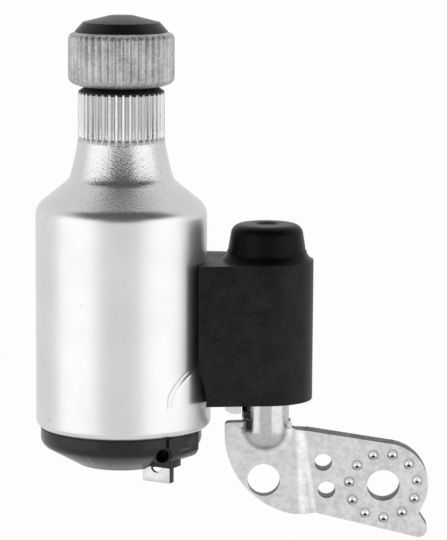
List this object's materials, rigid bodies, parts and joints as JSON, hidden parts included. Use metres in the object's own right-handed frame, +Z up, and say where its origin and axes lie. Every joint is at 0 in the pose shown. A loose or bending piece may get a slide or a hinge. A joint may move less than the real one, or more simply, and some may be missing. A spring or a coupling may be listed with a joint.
{
  "type": "bottle dynamo",
  "caption": "Bicycle bottle dynamo: silver bottle casing with fluted neck, ridged drive roller, black cap and base, black sprung hinge with release button, on a pressed steel bolt-on bracket.",
  "frame": {"origin": "centre of the bracket's bolt hole, halfway through the plate", "axes": "+Z up along the dynamo's shaft, +Y away from the side the picture shows, +X from the dynamo towards the bolted end of the bracket"},
  "size_m": [0.0881, 0.038, 0.1178],
  "materials": {
    "zinc_steel": "pressed steel, dull zinc plate",
    "bright_steel": "turned or stamped steel, bright plate",
    "spring_steel": "spring steel",
    "bronze": "sintered bronze",
    "contact_brass": "rolled brass strip",
    "casing_aluminium": "satin-bright drawn aluminium",
    "roller_zinc": "matt die-cast roller",
    "base_plastic": "smooth charcoal plastic",
    "housing_plastic": "fine-grained black plastic",
    "button_plastic": "smooth black plastic",
    "cap_plastic": "black plastic",
    "seal_rubber": "black rubber",
    "ivory_plastic": "natural nylon",
    "enamelled_wire": "enamelled copper winding",
    "magnet_ferrite": null
  },
  "bodies": {
    "bracket": {"bracket_plate": "zinc_steel", "hinge_post": "bright_steel", "weld_beads": "zinc_steel", "thrust_washer": "bronze", "spindle_washer": "bright_steel", "spindle_circlip": "spring_steel"},
    "dynamo": {"casing": "casing_aluminium", "base_cap": "base_plastic", "base_gasket": "seal_rubber", "thrust_pad": "ivory_plastic", "lower_bearing": "bronze", "upper_bearing": "bronze", "neck_seal": "seal_rubber", "yoke_ring": "zinc_steel", "upper_claws": "zinc_steel", "lower_claws": "zinc_steel", "bobbin": "ivory_plastic", "winding": "enamelled_wire", "terminal_contact": "contact_brass", "terminal_spring": "spring_steel", "hinge_housing": "housing_plastic", "housing_screws": "bright_steel", "hinge_bush": "bronze", "button_collar": "housing_plastic", "hinge_spring": "spring_steel", "button_spring": "spring_steel"},
    "rotor": {"rotor_shaft": "bright_steel", "magnet_hub": "ivory_plastic", "rotor_magnet": "magnet_ferrite", "shaft_circlip": "spring_steel", "drive_roller": "roller_zinc", "lock_washer": "spring_steel", "roller_nut": "bright_steel", "roller_cap": "cap_plastic"},
    "button": {"release_button": "button_plastic", "latch_plate": "bright_steel"},
    "clip": {"terminal_clip": "bright_steel"}
  },
  "joints": [
    {"name": "hinge_swing", "type": "hinge", "parent": "bracket", "child": "dynamo", "pos_m": [-0.0267, -0.00264, 0.03], "axis": [0, 0, 1], "range_deg": [0, 24], "stiffness_Nm_per_rad": 0.6, "springref_deg": -51.57, "deforming": ["hinge_spring"]},
    {"name": "rotor_spin", "type": "hinge", "parent": "dynamo", "child": "rotor", "pos_m": [-0.059, -0.00264, 0.0952], "axis": [0, 0, 1], "continuous": true},
    {"name": "button_press", "type": "slide", "parent": "dynamo", "child": "button", "axis": [0, 0, -1], "range_m": [0, 0.0019], "stiffness_N_per_m": 1500, "springref_m": -0.003, "deforming": ["button_spring"]},
    {"name": "clip_press", "type": "slide", "parent": "dynamo", "child": "clip", "axis": [0, 0, 1], "range_m": [0, 0.0033], "stiffness_N_per_m": 400, "springref_m": -0.003, "deforming": ["terminal_spring"]}
  ]
}
